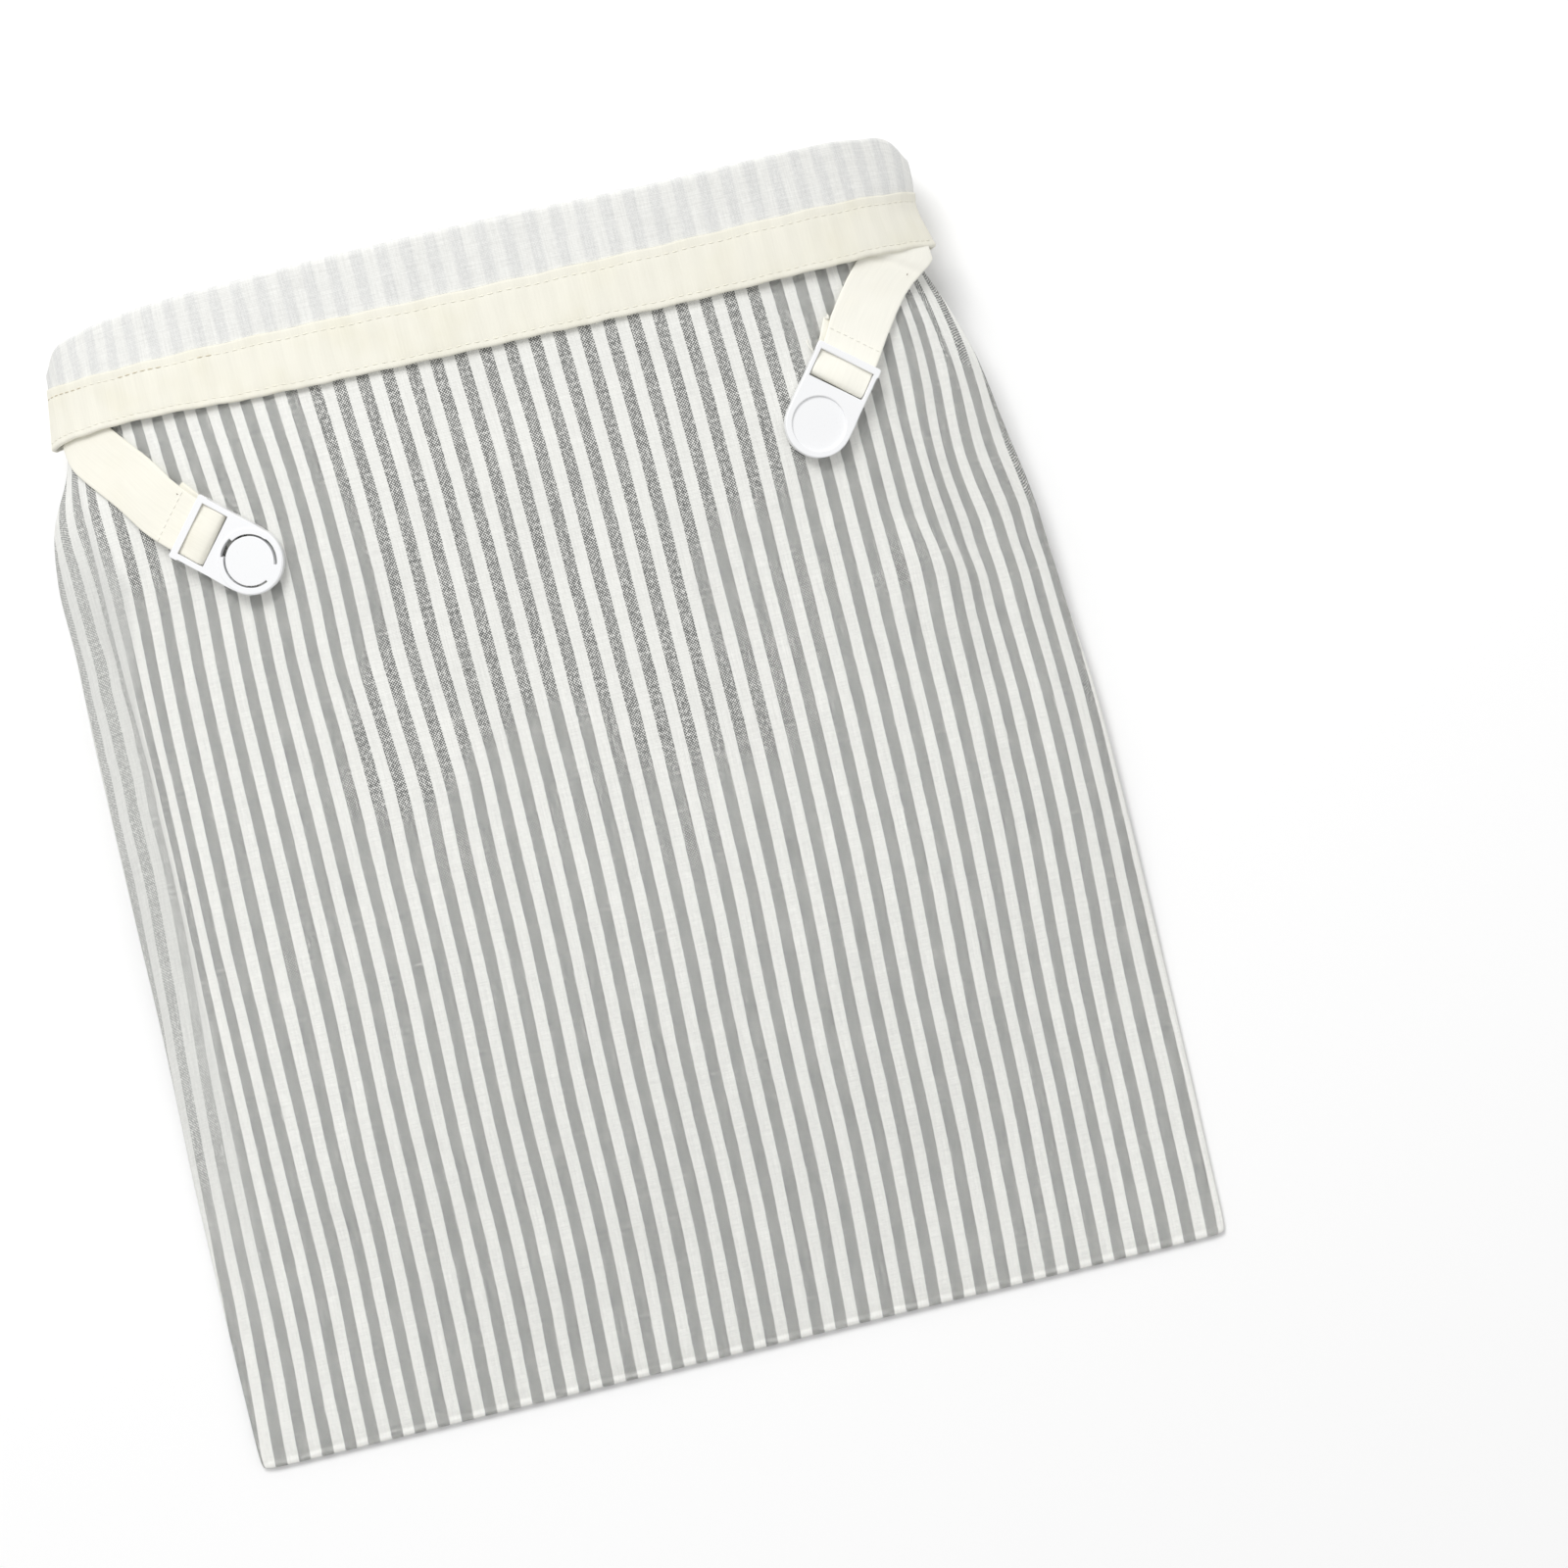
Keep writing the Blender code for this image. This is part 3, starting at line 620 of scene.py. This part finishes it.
def sewPanel(name, face, columns, bodyRows):
    u = spacing(330.0, columns) / 330.0
    turnY, endY, stitched = mouthLines(u)
    rows = []
    weaves = []
    for nominal in spacing(bag["foldY"], bodyRows, (True, False))[:-1]:
        place, weave = panelPlaces(u, nominal / bag["foldY"] * turnY, face)
        rows.append(place)
        weaves.append(weave)
    place, out, along, weave = bodyFrame(u, turnY, face)
    half = bag["cuffGap"] / 2
    for angle in np.linspace(0, math.pi, panels["turnRows"]):
        inward = math.cos(angle) * out - math.sin(angle) * along
        bend = place + out * half - inward * half
        drawIn(bend, u, turnY, cuff=True)
        rows.append(bend)
        weaves.append(weave)
    for k in range(1, panels["cuffRows"] + 1):
        y = turnY + (endY - turnY) * k / panels["cuffRows"]
        place, out, along = bodyFrame(u, y, face)[:3]
        place = place + out * cuffOffset(u, y, face)[..., None]
        drawIn(place, u, y, cuff=True)
        rows.append(place)
        weaves.append(weave)
    middle = np.array(rows)
    steps = np.linalg.norm(np.diff(middle, axis=0), axis=2)
    lengthways = np.concatenate([[0], np.cumsum(steps.mean(axis=1))])
    lengthways = np.repeat(lengthways[:, None], len(u), axis=1)
    piece = clothMesh(name, middle, np.array(weaves), lengthways)
    # painted sheen and shade on the left flank, outside its long crease: it fades in above the bottom
    # and is weaker near the band
    y = middle[..., 1]
    crease = np.interp(y, panels["creaseY"], panels["creaseShare"])
    low, full = panels["paintedSheenShadeFrom"]
    weaker, high = panels["paintedSheenShadeStops"]
    flank = np.clip((crease - u[None, :]) / 0.012 + 0.5, 0, 1) * np.clip((y - low) / (full - low), 0, 1)
    flank = flank * (0.3 + 0.7 * np.clip((high - y) / (high - weaker), 0, 1))
    paintedSheenShadeTone = piece.data.attributes.new("paintedSheenShade", "FLOAT", "POINT")
    paintedSheenShadeTone.data.foreach_set("value", (panels["paintedSheenShade"] * flank).astype(np.float32).ravel())
    if face == "back":
        piece.data.flip_normals()
    thicken(piece, bag["cloth"], [rightSide, wrongSide, rightSide])
    return piece


frontPanel = sewPanel("linenFront", "front", 152, 176)
backPanel = sewPanel("linenBack", "back", 100, 110)
keep(frontPanel, "front_panel")
keep(backPanel, "back_panel")
print("panels sewn")


# Stitches and loose threads

def tube(path, radius, sides=5):
    # points and faces of a thin closed thread along a path
    path = np.asarray(path, float)
    flow = unit(np.gradient(path, axis=0))
    side = unit(np.cross(flow, np.array([0.13, 0.21, 0.97])))
    up = np.cross(side, flow)
    points = []
    faces = []
    for k in range(len(path)):
        thin = radius * (0.45 if k in (0, len(path) - 1) else 1.0)
        for j in range(sides):
            a = 2 * math.pi * j / sides
            points.append(path[k] + thin * (math.cos(a) * side[k] + math.sin(a) * up[k]))
    for k in range(len(path) - 1):
        for j in range(sides):
            n = (j + 1) % sides
            faces.append((k * sides + j, k * sides + n, (k + 1) * sides + n, (k + 1) * sides + j))
    faces.append(tuple(range(sides))[::-1])
    faces.append(tuple(range((len(path) - 1) * sides, len(path) * sides)))
    return points, faces


def threadPiece(name, paths, radius, material):
    points = []
    faces = []
    for path in paths:
        some, corners = tube(path, radius)
        faces += [tuple(c + len(points) for c in corner) for corner in corners]
        points += some
    mesh = bpy.data.meshes.new(name)
    mesh.from_pydata([tuple((p - np.array([0, bag["originY"], 0])) * mm) for p in points], [], faces)
    mesh.materials.append(material)
    mesh.shade_smooth()
    piece = bpy.data.objects.new(name, mesh)
    bpy.context.scene.collection.objects.link(piece)
    return piece


def stitchPaths(line, outs, length, gap, lift):
    # single stitches along a line on the cloth: each rises in its middle and dips at its ends
    line = np.asarray(line, float)
    run = np.concatenate([[0], np.cumsum(np.linalg.norm(np.diff(line, axis=0), axis=1))])

    def at(reach):
        place = np.array([np.interp(reach, run, line[:, k]) for k in range(3)])
        out = unit(np.array([np.interp(reach, run, outs[:, k]) for k in range(3)]))
        return place, out

    paths = []
    start = gap / 2
    while start + length < run[-1]:
        path = []
        for t in np.linspace(0, 1, 5):
            place, out = at(start + length * t)
            path.append(place + out * (lift * (math.sin(math.pi * t) - 0.35)))
        paths.append(path)
        start += length + gap
    return paths


# The band round the mouth

band = {
    "cloth": 0.5,
    "layer": 0.62,              # from the cuff's cloth to each layer of the band
    "columns": 150,
    "stitchFromTop": 3.3,
    "stitchFromEdge": 1.5,
    "stitch": (2.2, 0.8, 0.2),  # length, gap, height
    "stitchOut": 0.28,          # from the middle of the band's cloth
    "thread": 0.12,
    "oldThread": 0.14,
    "browned": (-146, -84),     # where the thread has browned, from x to x
}


def bandRow(face, share, side, drop=0.0):
    # one line of the band: share 0 at its stitched edge, 1 at the mouth edge
    u = spacing(330.0, band["columns"]) / 330.0
    turnY, endY, stitched = mouthLines(u)
    pucker = 0.22 * np.sin(u * 330 / 3.1 + 2 * np.sin(u * 21)) * np.sin(u * 57 + 1)
    edgeY = endY - 0.6 + pucker * share
    y = stitched + (edgeY - stitched) * share + 0.16 * (1 - share) * np.sin(u * 97 + 0.7)
    place, out, along, weave = bodyFrame(u, y - drop, face)
    swell = 0.16 * np.sin(u * 41 + 2 * share) * math.sin(math.pi * min(max(share, 0), 1))
    quilt = -0.1 * math.exp(-((share * 20 - band["stitchFromTop"]) / 0.7) ** 2)
    quilt -= 0.08 * math.exp(-(((1 - share) * 20 - band["stitchFromEdge"]) / 0.5) ** 2)
    raised = cuffOffset(u, y - drop, face) + side * (band["layer"] + (swell + quilt if side > 0 else 0))
    place = place + out * raised[..., None]
    drawIn(place, u, y - drop, cuff=True)
    return place, out, weave


def sewBand(name):
    profile = [(share, 1.0, 0.0) for share in (0.0, 0.04, 0.09, 0.13, 0.165, 0.2, 0.25, 0.32, 0.42, 0.54,
                                               0.66, 0.78, 0.86, 0.9, 0.925, 0.95, 0.975)]
    profile += [(1.0, math.cos(a), math.sin(a) * band["layer"]) for a in np.linspace(0, math.pi, 7)]
    profile += [(share, -1.0, 0.0) for share in np.linspace(0.94, 0.04, 8)]
    rows = []
    weaves = []
    for share, side, drop in profile:
        front, out, weave = bandRow("front", share, side, drop)
        back, out, backWeave = bandRow("back", share, side, drop)
        rows.append(np.vstack([front, back[::-1]]))
        weaves.append(np.concatenate([weave, weave[-1] + backWeave[-1] - backWeave[::-1]]))
    middle = np.array(rows)
    down = np.linalg.norm(np.diff(middle, axis=0), axis=2).mean(axis=1)
    down = np.repeat(np.concatenate([[0], np.cumsum(down)])[:, None], middle.shape[1], axis=1)
    piece = clothMesh(name, middle, np.array(weaves), down, loop=True)
    thicken(piece, band["cloth"], [tapeCream])
    return piece


mouthBand = sewBand("mouthBand")
keep(mouthBand, "mouth_band")
newPaths = []
oldPaths = []
for face in ("front", "back"):
    for share in (band["stitchFromTop"] / 20, 1 - band["stitchFromEdge"] / 20):
        line, out, weave = bandRow(face, share, 1.0)
        for path in stitchPaths(line + out * band["stitchOut"], out, *band["stitch"]):
            x = path[2][0]
            within = band["browned"][0] < x < band["browned"][1]
            browned = face == "front" and share < 0.5 and within and math.sin(x * 0.23 + 2) > -0.2
            (oldPaths if browned else newPaths).append(path)
stitches = threadPiece("bandStitches", newPaths, band["thread"], seamThread)
keep(stitches, "mouth_band")
stitches = threadPiece("bandOldStitches", oldPaths, band["oldThread"], oldThread)
keep(stitches, "mouth_band")
print("band sewn on, stitches:", len(newPaths) + len(oldPaths))


# Clips

clips = {
    "levelling": 0.6,           # a stiff clip lies more level than the cloth
    "width": 22.0,
    "ear": 0.35,                # the end bar stands out a little at both sides
    "discRadius": 10.9,
    "slotLength": 9.2,
    "slotWidth": {"left": 18.2, "right": 19.0},
    "discFromSlot": 12.75,
    "bar": 2.3,
    "rod": 1.4,
    "rodMid": -0.6,
    "rodFromFar": 2.65,
    "catchSlit": (7.95, 8.6, 21),       # inner and outer radius, half angle left uncut
    "catchNotch": (8.2, 9.65, 20),
    "platform": 10.6,
    "dish": (8.75, 0.7),                # radius, height of its floor
    "corner": 0.9,                      # radius of the end bar's corners
    "waist": (-9.0, -4.0),              # where the sides start to turn round the disc
    "body": (-1.6, 0.9, 0.2),           # bottom, top and rounding of the moulded layers
    "leftFace": (0.4, 1.42, 0.22),
    "leftRound": (0.6, 1.66, 0.18),
    "rightFace": (0.3, 1.6, 0.42),
    # x, y and height above the cloth: at the slot, then at the middle of the disc
    "left": (-106.2, 305.8, 4.9, -89.0, 289.5, 3.6),
    "right": (109.5, 307.6, 4.9, 95.0, 288.5, 3.7),
}


def clipAxes(row):
    ends = []
    for x, y, height in (row[:3], row[3:]):
        place, out = bodyFrame(shareAt(x, y), y, "front")[:2]
        ends.append((place + out * height, out))
    along = unit(ends[1][0] - ends[0][0])
    up = unit(unit(ends[0][1] + ends[1][1]) + clips["levelling"] * np.array([0, 0, 1.0]))
    up = unit(up - along * np.dot(up, along))
    return ends[1][0], along, np.cross(up, along), up


def arc(radius, start, end, steps):
    turns = [math.radians(start + (end - start) * k / steps) for k in range(steps + 1)]
    return [(radius * math.cos(a), radius * math.sin(a)) for a in turns]


def box(x0, x1, half):
    return [(x0, -half), (x1, -half), (x1, half), (x0, half)]


def plate(outlines, low, high, rounding):
    # a moulded plate over one outline, with the rest as holes, its edges rounded
    shape = bpy.data.curves.new("plate", "CURVE")
    shape.dimensions = "2D"
    shape.fill_mode = "BOTH"
    shape.extrude = ((high - low) / 2 - rounding) * mm
    shape.bevel_depth = rounding * mm
    shape.bevel_resolution = 2
    shape.offset = -rounding * mm
    for outline in outlines:
        spline = shape.splines.new("POLY")
        spline.points.add(len(outline) - 1)
        for point, (x, y) in zip(spline.points, outline):
            point.co = (x * mm, y * mm, 0, 1)
        spline.use_cyclic_u = True
    holder = bpy.data.objects.new("plate", shape)
    bpy.context.scene.collection.objects.link(holder)
    bpy.context.view_layer.update()
    solid = holder.evaluated_get(bpy.context.evaluated_depsgraph_get())
    mesh = bpy.data.meshes.new_from_object(solid)
    bpy.data.objects.remove(holder)
    bpy.data.curves.remove(shape)
    middle = (high + low) / 2 * mm
    for vertex in mesh.vertices:
        vertex.co.z += middle
    return mesh


def clipOutline(side, withBar):
    width, disc = clips["width"] / 2, clips["discRadius"]
    near = -(clips["discFromSlot"] + clips["slotLength"])
    back = near - clips["bar"]
    ear = width + clips["ear"]
    corner = clips["corner"]
    wide, narrow = clips["waist"]
    points = []
    if withBar:
        points += [(near + 0.9, width), (near + 0.4, ear)]
        for middle, start in ((ear - corner, 90), (corner - ear, 180)):
            points += [(back + corner + x, middle + y) for x, y in arc(corner, start, start + 90, 5)]
        points += [(near + 0.4, -ear), (near + 0.9, -width)]
    else:
        slot = clips["slotWidth"][side] / 2
        far = -clips["discFromSlot"]
        points += [(near - 0.2, width), (near - 0.2, slot), (far, slot), (far, -slot)]
        points += [(near - 0.2, -slot), (near - 0.2, -width)]
    points += [(wide, -width + 0.1), (narrow, -disc - 0.15)]
    points += arc(disc, -90, 90, 36)
    points += [(narrow, disc + 0.15), (wide, width - 0.1)]
    return points


def mouldClip(name, side):
    origin, along, aside, up = clipAxes(clips[side])
    far = -clips["discFromSlot"]
    slot = box(far - clips["slotLength"], far, clips["slotWidth"][side] / 2)
    rodMiddle, rodHalf = far - clips["rodFromFar"], clips["rod"] / 2
    rod = box(rodMiddle - rodHalf, rodMiddle + rodHalf, clips["width"] / 2 - 1)
    if side == "left":
        inner, outer, uncut = clips["catchSlit"]
        deep, wide, half = clips["catchNotch"]
        slit = arc(outer + 0.3, uncut, 80, 10) + arc(outer, 82, 180 - half, 20)
        slit += arc(wide, 180 - half, 180 + half, 8)
        slit += arc(outer, 180 + half, 360 - uncut, 30) + arc(inner, 360 - uncut, uncut, 66)
        plates = [
            plate([clipOutline(side, False), slit], *clips["body"]),
            plate([clipOutline(side, True), slot, slit], *clips["leftFace"]),
            plate([arc(clips["platform"], 0, 354, 59), slit], *clips["leftRound"]),
        ]
    else:
        dishRadius, floorHeight = clips["dish"]
        dish = arc(dishRadius, 0, 355, 71)
        plates = [
            plate([clipOutline(side, False)], clips["body"][0], floorHeight, clips["body"][2]),
            plate([clipOutline(side, True), slot, dish], *clips["rightFace"]),
        ]
    plates.append(plate([rod], clips["rodMid"] - rodHalf, clips["rodMid"] + rodHalf, 0.2))
    build = bmesh.new()
    for mesh in plates:
        build.from_mesh(mesh)
        bpy.data.meshes.remove(mesh)
    bmesh.ops.remove_doubles(build, verts=build.verts, dist=0.004 * mm)
    for face in build.faces:
        face.smooth = abs(face.normal.z) < 0.995
    place = Vector((origin - np.array([0, bag["originY"], 0])) * mm)
    for vertex in build.verts:
        x, y, z = vertex.co
        vertex.co = place + Vector(along) * x + Vector(aside) * y + Vector(up) * z
    mesh = bpy.data.meshes.new(name)
    build.to_mesh(mesh)
    build.free()
    mesh.materials.clear()
    mesh.materials.append(plastic)
    piece = bpy.data.objects.new(name, mesh)
    bpy.context.scene.collection.objects.link(piece)
    return piece


for side in ("left", "right"):
    keep(mouldClip(side + "Clip", side), side + "_clip")
print("clips moulded")


# Straps

straps = {
    "cloth": 0.6,
    "width": 19.0,
    "turn": 1.8,
    "stitch": (1.7, 0.7, 0.2),
    "stitchRow": 0.47,          # where between the bar, 0, and the part that lies on the cloth, 1
    "thread": 0.16,
    "looseThread": 0.27,
    "speckThread": 0.17,
    # x and y of the left edge, x and y of the right edge, height above the cloth
    "left": [
        (-142.0, 341.5, -131.2, 352.0, 1.6),
        (-140.7, 333.5, -125.3, 344.0, 1.6),
        (-136.9, 327.5, -121.3, 338.6, 1.6),
        (-132.3, 321.8, -117.7, 334.0, 1.6),
        (-127.6, 316.0, -113.7, 329.2, 1.8),
        (-120.0, 305.9, -106.8, 319.6, 3.4),
    ],
    "right": [
        (128.0, 345.0, 143.6, 338.6, 1.6),
        (123.3, 340.9, 144.0, 333.8, 1.6),
        (121.0, 338.0, 143.6, 331.9, 1.6),
        (118.6, 334.9, 139.5, 328.3, 1.6),
        (115.2, 331.1, 135.7, 325.4, 1.6),
        (111.9, 326.8, 130.7, 320.3, 1.8),
        (107.0, 321.1, 122.1, 309.4, 3.4),
    ],
    "mitre": (131.5, 334.3, 140.0, 329.2, 0.45),    # where the right one is folded over, how high
    # along the clip from the middle of its disc, and height
    "inClip": [(-25.8, -0.2), (-24.2, -0.2), (-21.6, -0.15), (-19.0, 0.55), (-17.1, 1.15)],
    "outOfClip": [(-17.6, -2.35), (-20.0, -2.2), (-22.4, -2.0), (-25.0, -1.8)],
    "inSlot": {"left": 17.95, "right": 18.8},
    "backAside": {"left": 1.4, "right": -1.8},      # the sewn-back end lies a little to one side
    "backEnd": {"left": 0.75, "right": 0.85},
    "speck": (134.7, 329.0),                        # a dark speck on the right strap
    # the end of loose thread at the right clip: along it, out from its middle, height
    "looseEnd": [(-20.2, 10.4, -1.3), (-20.4, 11.4, -1.0), (-20.7, 12.4, -0.7),
                 (-21.2, 13.3, -0.6), (-22.0, 14.1, -0.9), (-23.0, 14.5, -1.3)],
}


def sewStrap(name, side):
    disc, along, aside, up = clipAxes(clips[side])
    parts = np.linspace(0, 1, 17)
    table = np.array(straps[side])
    steps = np.linspace(0, len(table) - 1, 26)
    fine = np.stack([curve(np.arange(len(table)), table[:, k], steps) for k in range(5)], axis=1)
    drape = []
    for ax, ay, bx, by, lift in fine:
        edgeA, edgeB = shareAt(ax, ay), shareAt(bx, by)
        place, out = bodyFrame(edgeA + (edgeB - edgeA) * parts, ay + (by - ay) * parts, "front")[:2]
        drape.append((place, out, lift))
    grid = []
    x0, y0, x1, y1, high = straps["mitre"]
    for place, out, lift in drape:
        row = place + out * lift
        if side == "right":
            beyond = (place[:, 0] - x0) * (y0 - y1) + (place[:, 1] - y0) * (x1 - x0)
            beyond = beyond / math.hypot(x1 - x0, y1 - y0)
            fold = high * np.clip(beyond, 0, 1) - 0.35 * np.exp(-((beyond + 0.8) / 0.8) ** 2)
            row = row + out * fold[:, None]
        grid.append(row)
    onCloth = len(grid)
    rod = -clips["discFromSlot"] - clips["rodFromFar"]
    path = list(straps["inClip"])
    path += [(rod + straps["turn"] * math.cos(a), clips["rodMid"] + straps["turn"] * math.sin(a))
             for a in np.radians(np.linspace(78, -78, 11))]
    path += straps["outOfClip"]
    across = parts - 0.5
    if np.dot(grid[-1][-1] - grid[-1][0], aside) < 0:
        across = -across
    bar = -(clips["discFromSlot"] + clips["slotLength"] + clips["bar"] / 2)
    for k, (reach, height) in enumerate(path):
        inside = min(max((reach - bar + 2.0) / 4.0, 0), 1)
        width = straps["width"] + (straps["inSlot"][side] - straps["width"]) * inside
        curl = 0.25 * inside * np.cos(across * math.pi * 2)
        slide = straps["backAside"][side] * max(k - len(straps["inClip"]) - 6, 0) / 10
        sideways = across[:, None] * width + slide
        grid.append(disc + along * reach + up * (height + curl[:, None]) + aside * sideways)
    shift = aside * straps["backAside"][side]

    def beforeBar(share):
        # a line across the strap between the clip's bar and the part that lies on the cloth
        normal = unit(up * (1 - share) + drape[-1][1] * share)
        return grid[onCloth] + (grid[onCloth - 1] - grid[onCloth]) * share, normal

    for share in np.linspace(0.2, straps["backEnd"][side], 4):
        row, normal = beforeBar(share)
        grid.append(row - normal * 1.25 + shift)
    middle = np.array(grid)
    down = np.linalg.norm(np.diff(middle, axis=0), axis=2).mean(axis=1)
    down = np.repeat(np.concatenate([[0], np.cumsum(down)])[:, None], len(parts), axis=1)
    weave = np.repeat((parts * straps["width"])[None, :], len(middle), axis=0)
    piece = clothMesh(name, middle, weave, down)
    thicken(piece, straps["cloth"], [strapCream[side]])
    smooth = piece.modifiers.new("soft", "SUBSURF")
    smooth.levels = smooth.render_levels = 1
    # one row of stitches holds the end that is sewn back
    row, normal = beforeBar(straps["stitchRow"])
    paths = stitchPaths(row + normal * 0.36, normal, *straps["stitch"])
    return piece, float(down[-1, 0]), paths, beforeBar


strapLengths = {}
for side in ("left", "right"):
    piece, length, paths, beforeBar = sewStrap(side + "Strap", side)
    keep(piece, side + "_strap")
    disc, along, aside, up = clipAxes(clips[side])
    if side == "right":
        # a frayed corner, and a loose end of thread beside the clip
        loose = []
        row, normal = beforeBar(straps["backEnd"][side])
        corner = row[0] - normal[0] * 0.9
        away = unit(row[0] - row[4])
        for k in range(6):
            lean = math.radians(-40 + 16 * k)
            ray = away * math.cos(lean) - along * math.sin(lean)
            loose.append([corner + ray * t * (0.9 + 0.35 * (k % 3)) + normal[0] * (0.5 * t * (1 - t))
                          for t in np.linspace(-0.3, 1, 5)])
        outward = aside if np.dot(aside, away) > 0 else -aside
        loose.append([disc + along * reach + outward * far + up * high
                      for reach, far, high in straps["looseEnd"]])
        stitches = threadPiece("rightLooseThreads", loose, straps["looseThread"], strapThread)
        keep(stitches, "right_strap")
    row, normal = beforeBar(0.6)
    knotAt, normal = row[14] + normal[14] * 0.34, normal[14]
    if side == "right":
        place, out = bodyFrame(shareAt(*straps["speck"]), straps["speck"][1], "front")[:2]
        knotAt, normal = place + out * 2.0, out
    knots = [[knotAt - along * 0.3, knotAt + normal * 0.1, knotAt + along * 0.3]]
    if side == "right":
        knots.append([corner - along * 0.5, corner + away * 0.3, corner + along * 0.5])
    stitches = threadPiece(side + "StrapStitches", paths, straps["thread"], strapThread)
    keep(stitches, side + "_strap")
    specks = threadPiece(side + "StrapKnot", knots, straps["speckThread"], knotThread)
    keep(specks, side + "_strap")
    strapLengths[side] = round(length, 1)
print("straps sewn, lengths", strapLengths)


# Floor, light and camera

studio = {
    "lookAt": (57.8, 179.1),
    "distance": 1400.0,
    "frameWidth": 519.2,
    "turn": -13.9,
    "sensor": 36.0,
    "floor": 0.985,
    "sky": 0.61,
    "key": 39.0,
    "keyPlace": (-0.36, 1.5, 2.12),
    "keySize": 1.1,
}


def addLight(name, place, target, size, power):
    data = bpy.data.lights.new(name, "AREA")
    data.size = size
    data.energy = power
    light = bpy.data.objects.new(name, data)
    light.location = place
    aim = Vector(target) - Vector(place)
    light.rotation_euler = aim.to_track_quat("-Z", "Y").to_euler()
    bpy.context.scene.collection.objects.link(light)


floorMesh = bpy.data.meshes.new("floor")
corners = [(x * 4, y * 4, -0.0002) for x, y in ((-1, -1), (1, -1), (1, 1), (-1, 1))]
floorMesh.from_pydata(corners, [], [(0, 1, 2, 3)])
floor = bpy.data.objects.new("floor", floorMesh)
bpy.context.scene.collection.objects.link(floor)
floorPaint, tree, shader = startMaterial("floorPaint")
shader.inputs["Base Color"].default_value = (*[studio["floor"]] * 3, 1)
shader.inputs["Roughness"].default_value = 0.8
floorMesh.materials.append(floorPaint)

world = bpy.data.worlds.new("softWhite")
bpy.context.scene.world = world
world.use_nodes = True
world.node_tree.nodes["Background"].inputs[0].default_value = (1, 1, 1, 1)
world.node_tree.nodes["Background"].inputs[1].default_value = studio["sky"]
addLight("keyUpperLeft", studio["keyPlace"], (0, 0, 0), studio["keySize"], studio["key"])
bpy.context.scene.view_settings.view_transform = "Standard"

cameraData = bpy.data.cameras.new("camera")
camera = bpy.data.objects.new("camera", cameraData)
bpy.context.scene.collection.objects.link(camera)
cameraData.lens = studio["sensor"] * studio["distance"] / studio["frameWidth"]
cameraData.sensor_width = studio["sensor"]
camera.location = (studio["lookAt"][0] * mm,
                   (studio["lookAt"][1] - bag["originY"]) * mm, studio["distance"] * mm)
camera.rotation_euler = (0, 0, math.radians(studio["turn"]))
bpy.context.scene.camera = camera
print("studio set")
